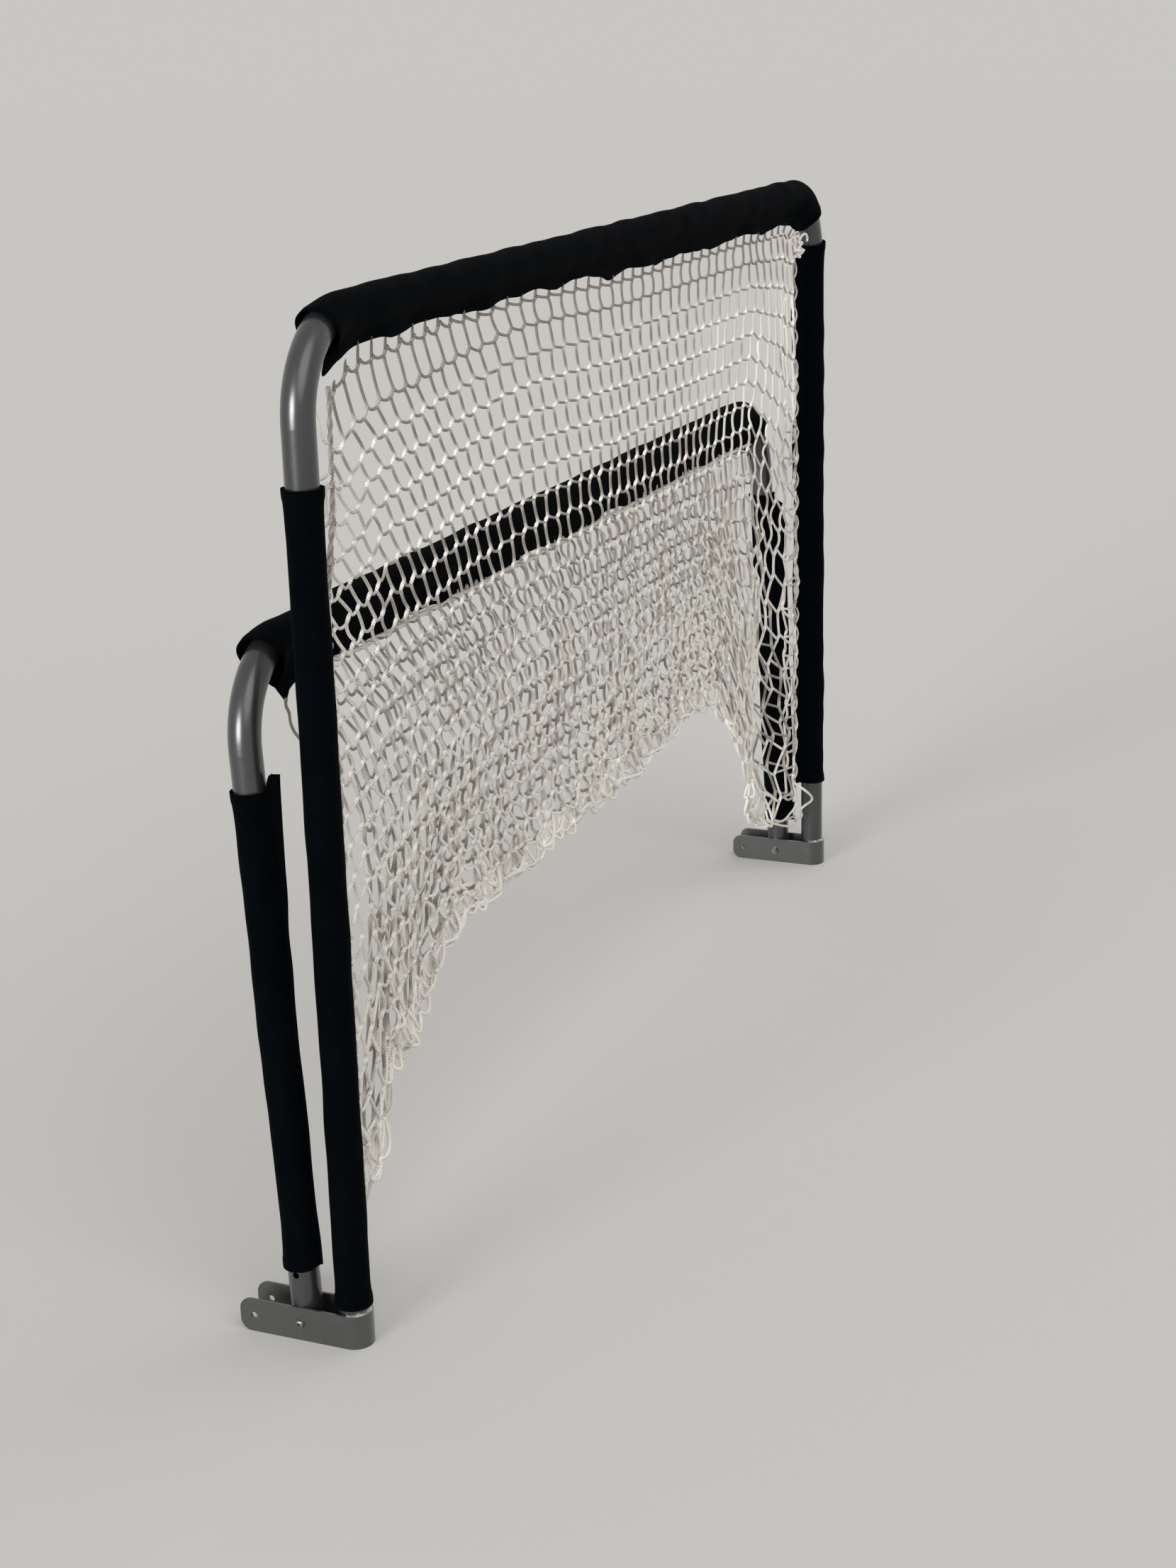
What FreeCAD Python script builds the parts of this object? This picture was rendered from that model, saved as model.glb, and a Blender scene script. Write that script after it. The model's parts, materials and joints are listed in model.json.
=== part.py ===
"""A folding street hockey goal, folded flat for storage.

An upright tube frame forms the mouth. A lower tube frame is pivoted between strap brackets
on the feet of the posts and is folded up behind it. Black sleeves cover the tubes, and the
net hangs from the sleeve on the crossbar and rises again to the sleeve on the rear bar.

Millimetres. +X runs across the goal, -Y is the side the mouth faces, +Z is up. The origin
is on the floor, in the middle of the folded goal's footprint.
"""

import FreeCAD
import Part
import math
import os

V = FreeCAD.Vector

# Driving dimensions: the tube frame
GOAL_WIDTH = 1828.8          # outside of post to outside of post
GOAL_HEIGHT = 1219.2         # floor to the top of the crossbar
TUBE_R = 19.05
TUBE_WALL = 1.2
BEND_R = 110.0               # centreline radius of each corner
STUB_LENGTH = 90.0           # necked end of one half, pushed into the other half
STUB_CLEARANCE = 0.1

# Hinge brackets on the posts' feet
STRAP = 3.0                  # strap thickness
STRAP_CLEARANCE = 0.5        # tube to strap, on each side
STRAP_HEIGHT = 43.0
STRAP_REACH = 143.5          # post axis to the strap's rear end
STRAP_CORNER_R = 15.0
WELD_LEG = 3.2
PIVOT_BEHIND_POST = 62.8
LOCK_BEHIND_PIVOT = 62.0
LOCK_HOLE_R = 4.0

# Pivot bolts
BOLT_R = 3.0
BOLT_CLEARANCE = 0.08
HEAD_R = 6.0
HEAD_HEIGHT = 3.6
RECESS_R = 2.0
NUT_FLATS = 10.0
NUT_HEIGHT = 5.0
THREAD_PAST_NUT = 2.5

# Rear frame
REAR_LENGTH = 812.0          # pivot to the rear bar's axis
REAR_FOOT = 8.0              # leg past the pivot
REST_LEAN = 2.5              # degrees past upright, as folded

# Sleeves
SLEEVE_GAP = 0.3             # tube to cloth
SLEEVE_CLOTH = 1.9
FRONT_BAR_WRAP = (30.0, 52.0)    # degrees of the left and right corner that a sleeve covers
REAR_BAR_WRAP = (30.0, 50.0)
FLAP_THICKNESS = 2.4
FRONT_BAR_FLAP = 36.0        # flap below the tube
REAR_BAR_FLAP = 38.0
POST_FLAP = 20.0
LEG_FLAP = 19.0
POST_FLAP_TURN = {"left": 0.0, "right": 40.0}    # flap's turn from inward; positive is to the rear
LEG_FLAP_TURN = {"left": -80.0, "right": -80.0}
FLAP_TOP_GAP = 12.0          # a leg sleeve's flap stops this far below its top
CORNER_FLAP = 41.0           # flap's corner below the mouth of a bar's sleeve
CORNER_CUT = 70.0            # net's slanted top corners, under that flap
POST_SLEEVE = {"left": (51.0, 1027.0), "right": (156.0, 1090.0)}    # lower and upper end
POST_SLEEVE_WRAP = {"left": 0.0, "right": 11.0}  # degrees of the corner above, also covered
LEG_SLEEVE = {"left": (91.0, 680.0), "right": (78.0, 680.0)}

# Net
NET = 2.0                    # sheet thickness
NET_FOLD_Z = 400.0           # lowest line of the net, in the middle
NET_FOLD_HALF = 500.0        # the fold line runs level this far from the middle
NET_LOW_Z = 115.0            # lowest point, beside each post
NET_FOLD_BEHIND = 30.0       # fold line behind the posts
REAR_RISE_GAP = 40.0         # rear rise to the legs' tubes
CORD_R = 2.4                 # net's edge cord

# Worked out from the above
POST_X = GOAL_WIDTH / 2 - TUBE_R
BAR_Z = GOAL_HEIGHT - TUBE_R
STRAP_IN = TUBE_R + STRAP_CLEARANCE
STRAP_OUT = STRAP_IN + STRAP
FRONT_Y = -(STRAP_REACH - STRAP_OUT) / 2
PIVOT_Y = FRONT_Y + PIVOT_BEHIND_POST
PIVOT_Z = STRAP_HEIGHT / 2
SLEEVE_IN = TUBE_R + SLEEVE_GAP
SLEEVE_OUT = SLEEVE_IN + SLEEVE_CLOTH
STUB_R = TUBE_R - TUBE_WALL - STUB_CLEARANCE

LEFT, RIGHT = -1, 1
SIDES = {"left": LEFT, "right": RIGHT}
X, Y, Z = V(1, 0, 0), V(0, 1, 0), V(0, 0, 1)


def ring(centre, normal, outer, inner):
    disc = Part.Face(Part.Wire(Part.makeCircle(outer, centre, normal)))
    return disc.cut(Part.Face(Part.Wire(Part.makeCircle(inner, centre, normal)))).Faces[0]


def rod(radius, start, end):
    return Part.makeCylinder(radius, (end - start).Length, start, end - start)


def box(low, high):
    return Part.makeBox(*(high - low), low)


def outline(points, extrude):
    wire = Part.makePolygon([*points, points[0]])
    return Part.Face(wire).extrude(extrude)


def whole(pieces):
    """One solid of pieces that share faces or overlap."""
    return pieces[0].multiFuse(pieces[1:]).removeSplitter()


def leaned(shape):
    """The rear frame is modelled upright over the pivot, then leaned back about it."""
    shape = shape.copy()
    shape.rotate(V(0, PIVOT_Y, PIVOT_Z), X, -REST_LEAN)
    return shape


def leg_axis_y(z):
    """The folded leg's axis at a height."""
    return PIVOT_Y + (z - PIVOT_Z) * math.tan(math.radians(REST_LEAN))


def corner_centre(side, y, bar_z):
    return V(side * (POST_X - BEND_R), y, bar_z - BEND_R)


def half_frame(side, y, foot_z, bar_z, outer, inner):
    """Leg, corner and half of the bar, up to the middle."""
    leg = ring(V(side * POST_X, y, foot_z), Z, outer, inner).extrude(Z * (bar_z - BEND_R - foot_z))
    start = ring(V(side * POST_X, y, bar_z - BEND_R), Z, outer, inner)
    corner = start.revolve(corner_centre(side, y, bar_z), Y * -side, 90)
    end = V(side * (POST_X - BEND_R), y, bar_z)
    bar = ring(end, X, outer, inner).extrude(X * -end.x)
    return whole([leg, corner, bar])


def tube_half(side, y, foot_z, bar_z):
    """A half of a frame. The left half ends in the necked stub of the joint."""
    half = half_frame(side, y, foot_z, bar_z, TUBE_R, TUBE_R - TUBE_WALL)
    if side == RIGHT:
        return half
    bore = STUB_R - TUBE_WALL
    neck = ring(V(-TUBE_R, y, bar_z), X, TUBE_R, bore).extrude(X * TUBE_R)
    neck = neck.common(rod(TUBE_R - TUBE_WALL / 2, V(-TUBE_R, y, bar_z), V(0, y, bar_z)))
    stub = ring(V(-TUBE_WALL, y, bar_z), X, STUB_R, bore).extrude(X * (STUB_LENGTH + TUBE_WALL))
    return whole([half, neck, stub])


def cross_hole(shape, side, y, z, radius):
    reach = TUBE_R + 2
    start, end = V(side * POST_X - reach, y, z), V(side * POST_X + reach, y, z)
    return shape.cut(rod(radius, start, end))


def front_half(side):
    return tube_half(side, FRONT_Y, 0, BAR_Z)


def rear_half(side):
    half = tube_half(side, PIVOT_Y, PIVOT_Z - REAR_FOOT, PIVOT_Z + REAR_LENGTH)
    half = cross_hole(half, side, PIVOT_Y, PIVOT_Z, BOLT_R + BOLT_CLEARANCE)
    half = cross_hole(half, side, PIVOT_Y, PIVOT_Z + LOCK_BEHIND_PIVOT, LOCK_HOLE_R)
    return leaned(half)


def bracket(side):
    """A strap bent round the front of the post, with two cheeks that reach back."""
    post = V(side * POST_X, FRONT_Y, 0)
    loop = ring(post, Z, STRAP_OUT, STRAP_IN).extrude(Z * STRAP_HEIGHT)
    loop = loop.common(box(post - V(30, 30, 0), post + V(30, 0, STRAP_HEIGHT)))
    cheeks = [
        box(post + V(low, 0, 0), post + V(low + STRAP, STRAP_REACH, STRAP_HEIGHT))
        for low in (-STRAP_OUT, STRAP_IN)
    ]
    strap = whole([loop, *cheeks])
    back = FRONT_Y + STRAP_REACH
    side_view = box(V(post.x - 30, FRONT_Y - 30, 0), V(post.x + 30, back, STRAP_HEIGHT))
    corners = [
        edge for edge in side_view.Edges
        if all(abs(v.Y - back) < 1e-6 for v in edge.Vertexes)
        and abs(edge.Vertexes[0].Z - edge.Vertexes[1].Z) < 1e-6
    ]
    strap = strap.common(side_view.makeFillet(STRAP_CORNER_R, corners))
    strap = strap.cut(rod(BOLT_R + BOLT_CLEARANCE, *across(side, PIVOT_Y)))
    return strap.cut(rod(LOCK_HOLE_R, *across(side, PIVOT_Y + LOCK_BEHIND_PIVOT)))


def across(side, y):
    """Ends of a line through both cheeks at the pivot's height."""
    return V(side * POST_X - 30, y, PIVOT_Z), V(side * POST_X + 30, y, PIVOT_Z)


def weld(side):
    """A fillet bead round the front of the post, on the strap's top edge."""
    x = side * POST_X
    top = STRAP_HEIGHT
    profile = Part.makePolygon([
        V(x + TUBE_R, FRONT_Y, top),
        V(x + TUBE_R + WELD_LEG, FRONT_Y, top),
        V(x + TUBE_R + WELD_LEG * 0.45, FRONT_Y, top + WELD_LEG * 0.6),
        V(x + TUBE_R, FRONT_Y, top + WELD_LEG),
        V(x + TUBE_R, FRONT_Y, top),
    ])
    return Part.Face(profile).revolve(V(x, FRONT_Y, 0), Z, -180)


def pivot_bolt(side):
    """Round head on the outer cheek, thread through both cheeks and the leg."""
    outer = side * (POST_X + STRAP_OUT)
    inner = side * (POST_X - STRAP_OUT - NUT_HEIGHT - THREAD_PAST_NUT)
    shank = rod(BOLT_R, V(inner, PIVOT_Y, PIVOT_Z), V(outer, PIVOT_Y, PIVOT_Z))
    head = rod(HEAD_R, V(outer, PIVOT_Y, PIVOT_Z), V(outer + side * HEAD_HEIGHT, PIVOT_Y, PIVOT_Z))
    rim = [
        edge for edge in head.Edges
        if len(edge.Vertexes) == 1 and abs(edge.Vertexes[0].X) > abs(outer) + HEAD_HEIGHT / 2
    ]
    head = head.makeFillet(HEAD_HEIGHT * 0.8, rim)
    tip = outer + side * (HEAD_HEIGHT + 1)
    recess = rod(RECESS_R, V(tip, PIVOT_Y, PIVOT_Z), V(outer + side * 1.4, PIVOT_Y, PIVOT_Z))
    return shank.fuse(head.cut(recess))


def pivot_nut(side):
    """Hexagon nut on the inner cheek."""
    face_x = side * (POST_X - STRAP_OUT)
    corner = NUT_FLATS / 2 / math.cos(math.radians(30))
    points = [
        V(face_x, PIVOT_Y + corner * math.cos(a), PIVOT_Z + corner * math.sin(a))
        for a in (math.radians(60 * k) for k in range(6))
    ]
    nut = outline(points, X * (-side * NUT_HEIGHT))
    return nut.cut(rod(BOLT_R + 0.02, *across(side, PIVOT_Y)))


def flap_end(bar_z, flap, wrap):
    """Right half of a bar flap's outline: inside the cloth round the corner, down to the hanging
    point and in to the flap's level edge."""
    half = POST_X - BEND_R
    in_cloth = BEND_R - (SLEEVE_IN + SLEEVE_OUT) / 2
    steps = 4
    arc = [
        (half + in_cloth * math.sin(a), bar_z - BEND_R + in_cloth * math.cos(a))
        for a in (math.radians(wrap * k / steps) for k in range(steps + 1))
    ]
    mouth_x, mouth_z = arc[-1]
    return [*arc, (mouth_x + 3, mouth_z - CORNER_FLAP), (half + 12, bar_z - TUBE_R - flap)]


def bar_sleeve(y, bar_z, flap, wraps):
    """Cloth tube over a bar and part of each corner, with a sewn flap below it."""
    half = POST_X - BEND_R
    straight = ring(V(-half, y, bar_z), X, SLEEVE_OUT, SLEEVE_IN).extrude(X * 2 * half)
    ends = [
        ring(V(side * half, y, bar_z), X, SLEEVE_OUT, SLEEVE_IN).revolve(
            corner_centre(side, y, bar_z), Y * side, wrap)
        for side, wrap in zip((LEFT, RIGHT), wraps)
    ]
    cloth = whole([straight, *ends])
    left, right = (flap_end(bar_z, flap, wrap) for wrap in wraps)
    line = right + [(-px, pz) for px, pz in left[::-1]]
    points = [V(px, y - FLAP_THICKNESS / 2, pz) for px, pz in line]
    hanging = outline(points, Y * FLAP_THICKNESS)
    for side in (LEFT, RIGHT):
        hanging = hanging.cut(half_frame(side, y, bar_z - 2 * BEND_R, bar_z, SLEEVE_IN, 1.0))
    return whole([cloth, hanging])


def leg_sleeve(side, y, low, high, flap, turn, taper=0.0, wrap=0.0):
    """Cloth tube over a leg, with a sewn flap that points inward, turned about the leg."""
    x = side * POST_X
    cloth = [ring(V(x, y, low), Z, SLEEVE_OUT, SLEEVE_IN).extrude(Z * (high - low))]
    if wrap:
        end = ring(V(x, y, high), Z, SLEEVE_OUT, SLEEVE_IN)
        cloth.append(end.revolve(V(x - side * BEND_R, y, high), Y * -side, wrap))
    near = x - side * (SLEEVE_IN + SLEEVE_CLOTH / 2)
    far = x - side * (TUBE_R + flap)
    points = [
        V(near, y - FLAP_THICKNESS / 2, low),
        V(far + side * taper, y - FLAP_THICKNESS / 2, low),
        V(far, y - FLAP_THICKNESS / 2, high - FLAP_TOP_GAP),
        V(near, y - FLAP_THICKNESS / 2, high - FLAP_TOP_GAP),
    ]
    hanging = outline(points, Y * FLAP_THICKNESS)
    hanging.rotate(V(x, y, 0), Z, -side * turn)
    return whole([*cloth, hanging])


def post_sleeve(name, side):
    ends, turn = POST_SLEEVE[name], POST_FLAP_TURN[name]
    return leg_sleeve(side, FRONT_Y, *ends, POST_FLAP, turn, wrap=POST_SLEEVE_WRAP[name])


def rear_leg_sleeve(name, side):
    ends, turn = LEG_SLEEVE[name], LEG_FLAP_TURN[name]
    return leaned(leg_sleeve(side, PIVOT_Y, *ends, LEG_FLAP, turn, taper=LEG_FLAP / 2))


def net_front():
    """The net's front fall, from the crossbar's flap to the fold. Its lower edge is an arch."""
    top = BAR_Z - TUBE_R - FRONT_BAR_FLAP - 2
    half = POST_X - TUBE_R - POST_FLAP - 6
    slope = NET_FOLD_BEHIND / (top - NET_FOLD_Z)
    line = [(NET_FOLD_HALF, NET_FOLD_Z), (half, NET_LOW_Z)]
    line += [(half, top - CORNER_FLAP), (half - CORNER_CUT, top)]
    line += [(-px, pz) for px, pz in line[::-1]]
    points = [V(px, FRONT_Y + 1 + (top - pz) * slope, pz) for px, pz in line]
    return outline(points, Y * NET)


def net_rear():
    """The net's rise from the fold to the rear bar's flap."""
    low, high = NET_FOLD_Z + 6, PIVOT_Z + REAR_LENGTH - TUBE_R - REAR_BAR_FLAP - 4
    low_y = FRONT_Y + NET_FOLD_BEHIND + NET + 3
    high_y = leg_axis_y(high) - NET / 2
    half = POST_X - TUBE_R - REAR_RISE_GAP
    line = [(half, low), (half, high - CORNER_FLAP), (half - CORNER_CUT, high)]
    line += [(-px, pz) for px, pz in line[::-1]]
    slope = (high_y - low_y) / (high - low)
    points = [V(px, low_y + (pz - low) * slope, pz) for px, pz in line]
    return outline(points, Y * NET)


def net_side(side):
    """The side panel, gathered between the post and the folded leg."""
    x = side * (POST_X - TUBE_R - 9)
    front = FRONT_Y + (16 if side < 0 else 28)
    low, high = NET_LOW_Z, PIVOT_Z + REAR_LENGTH - BEND_R
    back_low, back_high = leg_axis_y(low) - 4, leg_axis_y(high) - 4
    points = [V(x, front, low), V(x, back_low, low), V(x, back_high, high), V(x, front, high)]
    return outline(points, X * (-side * NET))


def edge_cord(side):
    """The net's edge cord, laced beside the post."""
    x = side * (POST_X - TUBE_R - POST_FLAP - CORD_R - 1)
    y = FRONT_Y - CORD_R
    return rod(CORD_R, V(x, y, NET_LOW_Z + 20), V(x, y, BAR_Z - BEND_R))


def parts():
    for name, side in SIDES.items():
        yield f"front_{name}_tube", front_half(side)
        yield f"rear_{name}_tube", rear_half(side)
        yield f"{name}_hinge_bracket", bracket(side)
        yield f"{name}_bracket_weld", weld(side)
        yield f"{name}_pivot_bolt", pivot_bolt(side)
        yield f"{name}_pivot_nut", pivot_nut(side)
        yield f"front_{name}_sleeve", post_sleeve(name, side)
        yield f"rear_{name}_sleeve", rear_leg_sleeve(name, side)
        yield f"net_{name}_side", net_side(side)
        yield f"net_{name}_edge_cord", edge_cord(side)
    yield "front_bar_sleeve", bar_sleeve(FRONT_Y, BAR_Z, FRONT_BAR_FLAP, FRONT_BAR_WRAP)
    rear_bar = bar_sleeve(PIVOT_Y, PIVOT_Z + REAR_LENGTH, REAR_BAR_FLAP, REAR_BAR_WRAP)
    yield "rear_bar_sleeve", leaned(rear_bar)
    yield "net_front_fall", net_front()
    yield "net_rear_rise", net_rear()


def main():
    os.makedirs("parts", exist_ok=True)
    for name, shape in parts():
        shape.exportStep(f"parts/{name}.step")
        print(f"{name}: {shape.Volume / 1000:.1f} cm3, {len(shape.Solids)} solid, valid {shape.isValid()}")


main()
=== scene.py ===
"""Looks of a folding street hockey goal, folded flat: painted tubes, black sleeves, white net.

Metres, in the part's own frame: +X runs across the goal, -Y is the side the mouth faces, +Z is up.
"""

import json
import math

import bpy
import numpy as np
from mathutils import Matrix, Vector


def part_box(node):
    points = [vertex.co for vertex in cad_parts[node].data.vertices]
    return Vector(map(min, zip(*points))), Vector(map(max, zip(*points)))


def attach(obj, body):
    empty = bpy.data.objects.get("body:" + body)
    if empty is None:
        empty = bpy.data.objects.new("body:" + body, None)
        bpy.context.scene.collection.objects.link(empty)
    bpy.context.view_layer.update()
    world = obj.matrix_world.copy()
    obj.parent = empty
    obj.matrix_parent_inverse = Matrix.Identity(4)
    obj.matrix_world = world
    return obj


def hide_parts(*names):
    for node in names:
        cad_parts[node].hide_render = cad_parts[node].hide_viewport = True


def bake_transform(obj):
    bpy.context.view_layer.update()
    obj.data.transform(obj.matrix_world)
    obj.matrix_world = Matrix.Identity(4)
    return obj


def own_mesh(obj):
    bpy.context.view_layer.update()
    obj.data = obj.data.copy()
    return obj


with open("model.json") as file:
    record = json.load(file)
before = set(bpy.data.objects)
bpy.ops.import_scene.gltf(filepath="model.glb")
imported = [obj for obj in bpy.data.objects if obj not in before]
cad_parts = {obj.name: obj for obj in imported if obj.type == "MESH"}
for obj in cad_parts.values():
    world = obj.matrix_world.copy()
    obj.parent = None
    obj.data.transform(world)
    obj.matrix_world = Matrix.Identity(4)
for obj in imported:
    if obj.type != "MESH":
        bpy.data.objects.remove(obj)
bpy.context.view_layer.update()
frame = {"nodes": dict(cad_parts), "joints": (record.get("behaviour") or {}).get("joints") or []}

SIDES = {"left": -1, "right": 1}
FRONT_BODY, REAR_BODY = "front_frame", "rear_frame"

# ---------------------------------------------------------------- measures of the frame
TUBE_R = 0.01905
BEND_R = 0.110
REST_LEAN = math.radians(2.5)                # the folded rear frame leans back from upright
REAR_LENGTH = 0.812                          # pivot to the rear bar's axis

post_low, post_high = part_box("front_left_tube")
POST_X = -(post_low.x + TUBE_R)
FRONT_Y = (post_low.y + post_high.y) / 2
BAR_Z = post_high.z - TUBE_R
BEND_X = POST_X - BEND_R                     # where each bar's straight part ends
PIVOT = Vector(frame["joints"][0]["pos_m"])


class Plane:
    """The upright plane of one tube frame: x across, h up from its foot, n out towards the front."""

    def __init__(self, foot, lean):
        self.foot = np.array(foot)
        self.up = np.array((0, math.sin(lean), math.cos(lean)))
        self.out = np.array((0, -math.cos(lean), math.sin(lean)))

    def point(self, x, h, n=0.0):
        x, h, n = np.broadcast_arrays(x, h, n)
        across = x[..., None] * np.array((1.0, 0, 0))
        return self.foot + across + h[..., None] * self.up + n[..., None] * self.out


FRONT = Plane((0, FRONT_Y, 0), 0.0)
REAR = Plane((0, PIVOT.y, PIVOT.z), REST_LEAN)


# ---------------------------------------------------------------- small maths
def smooth(low, high, value):
    t = np.clip((np.asarray(value, float) - low) / (high - low), 0, 1)
    return t * t * (3 - 2 * t)


def ripples(seed, shortest, longest, *places, count=9):
    """A smooth uneven field of about -1 to 1: sine waves that run in random directions."""
    rng = np.random.default_rng(seed)
    total = 0.0
    for _ in range(count):
        direction = rng.normal(size=len(places))
        direction /= np.linalg.norm(direction)
        wavenumber = 2 * math.pi / rng.uniform(shortest, longest)
        phase = rng.uniform(0, 2 * math.pi)
        total = total + np.sin(sum(d * p for d, p in zip(direction, places)) * wavenumber + phase)
    return total / math.sqrt(count)


def unit(vectors):
    return vectors / np.maximum(np.linalg.norm(vectors, axis=-1, keepdims=True), 1e-12)


# ---------------------------------------------------------------- meshes
def make_piece(name, vertices, faces, material, uv, painted_light=None):
    """A smooth-shaded piece. uv is in metres along and across the cloth or cord, face corner by
    face corner."""
    mesh = bpy.data.meshes.new(name)
    mesh.from_pydata(vertices.reshape(-1, 3).tolist(), [], faces)
    mesh.polygons.foreach_set("use_smooth", [True] * len(mesh.polygons))
    mesh.uv_layers.new(name="cloth").data.foreach_set("uv", uv.ravel())
    # the cords' painted light and shade, point by point
    if painted_light is not None:
        attribute = mesh.attributes.new("painted_light", "FLOAT", "POINT")
        attribute.data.foreach_set("value", painted_light.ravel().astype(np.float32))
    mesh.materials.append(material)
    piece = bpy.data.objects.new(name, mesh)
    bpy.context.scene.collection.objects.link(piece)
    return piece


def grid_faces(rows, columns, first=0, closed=False):
    """Quads of a rows x columns grid of vertices. closed joins the last column to the first."""
    faces = []
    for r in range(rows - 1):
        for c in range(columns if closed else columns - 1):
            d = (c + 1) % columns
            low, high = first + r * columns, first + (r + 1) * columns
            faces.append((low + c, low + d, high + d, high + c))
    return faces


TURN_WIDTH = 0.009                           # a cord's own uv width, once round
STRANDS = 3                                  # strands that each cord is laid up from


class Cords:
    """Round cords gathered into one mesh. Each is a tube with closed ends, and its painted light
    value, 0 to 1, is how lit it is painted from point to point: painted shade at 0, painted
    highlight at 1."""

    def __init__(self, sides=6):
        self.sides = sides
        self.vertices, self.knots, self.faces, self.uvs, self.count = [], [], [], [], 0

    def add(self, path, radius, painted_light=0.0):
        path = np.asarray(path, float)
        rows = len(path)
        tangent = unit(np.gradient(path, axis=0))
        normal = np.empty_like(path)
        guess = np.array((0.0, 1.0, 0.0)) if abs(tangent[0][1]) < 0.8 else np.array((1.0, 0, 0))
        for k in range(rows):
            guess = guess - guess.dot(tangent[k]) * tangent[k]
            guess /= max(np.linalg.norm(guess), 1e-9)
            normal[k] = guess
        second = np.cross(tangent, normal)
        turn = 2 * math.pi * np.arange(self.sides) / self.sides
        cos, sin = np.cos(turn)[None, :, None], np.sin(turn)[None, :, None]
        ring = cos * normal[:, None] + sin * second[:, None]
        radius = np.broadcast_to(radius, rows)
        self.vertices.append((path[:, None] + ring * radius[:, None, None]).reshape(-1, 3))
        self.knots.append(np.repeat(np.broadcast_to(painted_light, rows), self.sides))
        self.faces += grid_faces(rows, self.sides, self.count, closed=True)
        along = np.concatenate([[0], np.cumsum(np.linalg.norm(np.diff(path, axis=0), axis=1))])
        around = TURN_WIDTH * np.arange(self.sides + 1) / self.sides
        low, high = np.meshgrid(along[:-1], around[:-1], indexing="ij")
        next_low, next_high = np.meshgrid(along[1:], around[1:], indexing="ij")
        corners = [low, high, low, next_high, next_low, next_high, next_low, high]
        self.uvs += [np.stack(corners, axis=-1).reshape(-1, 2), np.zeros((2 * self.sides, 2))]
        last = self.count + (rows - 1) * self.sides
        self.faces.append(tuple(range(self.count + self.sides - 1, self.count - 1, -1)))
        self.faces.append(tuple(range(last, last + self.sides)))
        self.count += rows * self.sides

    def piece(self, name, material, slot):
        return make_piece(
            name, np.concatenate(self.vertices), self.faces, material,
            np.concatenate(self.uvs), np.concatenate(self.knots))


def through(places, steps=6):
    """A smooth path through a few places."""
    p = np.asarray(places, float)
    p = np.concatenate([2 * p[:1] - p[1:2], p, 2 * p[-1:] - p[-2:-1]])
    t = (np.arange(steps) / steps)[:, None]
    path = []
    for a, b, c, d in zip(p, p[1:], p[2:], p[3:]):
        curve = (2 * a - 5 * b + 4 * c - d) + t * (3 * (b - c) + d - a)
        path.append(b + 0.5 * t * (c - a + t * curve))
    return np.concatenate([*path, p[-2:-1]])


# ---------------------------------------------------------------- materials
class Shader:
    """Short names for building a node material."""

    def __init__(self, name):
        self.material = bpy.data.materials.new(name)
        self.material.use_nodes = True
        self.tree = self.material.node_tree
        self.surface = self.tree.nodes["Principled BSDF"]

    def node(self, kind, **inputs):
        node = self.tree.nodes.new(f"ShaderNode{kind}")
        for key, value in inputs.items():
            self.put(node, key, value)
        return node

    def put(self, node, key, value):
        """Sets a node's own property or socket, or links an output to the socket."""
        if hasattr(node, key):
            setattr(node, key, value)
            return
        socket = node.inputs[int(key[1:])] if key[0] == "_" else node.inputs[key.replace("_", " ")]
        if isinstance(value, bpy.types.NodeSocket):
            self.tree.links.new(value, socket)
        else:
            socket.default_value = value

    def set(self, **inputs):
        for key, value in inputs.items():
            self.put(self.surface, key, value)

    def place(self):
        return self.node("TexCoord").outputs["Object"]

    def noise(self, scale, detail=3.0, roughness=0.55, vector=None):
        node = self.node("TexNoise", Scale=scale, Detail=detail, Roughness=roughness)
        self.put(node, "Vector", vector or self.place())
        return node.outputs["Fac"]

    def ramp(self, value, *stops):
        """Colour of a value, through (position, colour) stops."""
        node = self.node("ValToRGB", Fac=value)
        elements = node.color_ramp.elements
        while len(elements) < len(stops):
            elements.new(0.5)
        for element, (position, colour) in zip(elements, stops):
            element.position = position
            element.color = (*colour, 1.0)
        return node.outputs["Color"]

    def spread(self, value, low, high):
        """A value of 0 to 1 taken to low to high."""
        node = self.node("MapRange", Value=value)
        node.inputs["To Min"].default_value = low
        node.inputs["To Max"].default_value = high
        return node.outputs["Result"]

    def maths(self, operation, first, second):
        return self.node("Math", operation=operation, _0=first, _1=second).outputs[0]

    def bump(self, height, strength, distance, normal=None):
        node = self.node("Bump", Height=height, Strength=strength, Distance=distance)
        if normal:
            self.put(node, "Normal", normal)
        return node.outputs["Normal"]


def silver_paint(name, dark, light):
    """Metallic paint under a clear coat: a fine flake, slow patches and a faint unevenness."""
    s = Shader(name)
    flake = s.noise(2600, 1.0)
    patches = s.noise(9, 4.0)
    shade = s.maths("ADD", s.maths("MULTIPLY", flake, 0.6), s.maths("MULTIPLY", patches, 0.4))
    colour = s.ramp(shade, (0.30, dark), (0.70, light))
    roughness = s.spread(s.noise(42, 5.0), 0.26, 0.40)
    s.set(Base_Color=colour, Metallic=0.6, Roughness=roughness, Coat_Weight=0.9, Coat_Roughness=0.23)
    s.set(Normal=s.bump(flake, 0.10, 0.0002, s.bump(s.noise(260, 2.0), 0.10, 0.0004)))
    return s.material


def zinc_metal():
    s = Shader("dulled_zinc")
    colour = s.ramp(s.noise(700, 3.0), (0.3, (0.13, 0.135, 0.13)), (0.7, (0.30, 0.305, 0.30)))
    s.set(Base_Color=colour, Metallic=1.0, Roughness=s.spread(s.noise(900, 2.0), 0.20, 0.42))
    s.set(Normal=s.bump(s.noise(1500, 2.0), 0.12, 0.0002))
    return s.material


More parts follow.
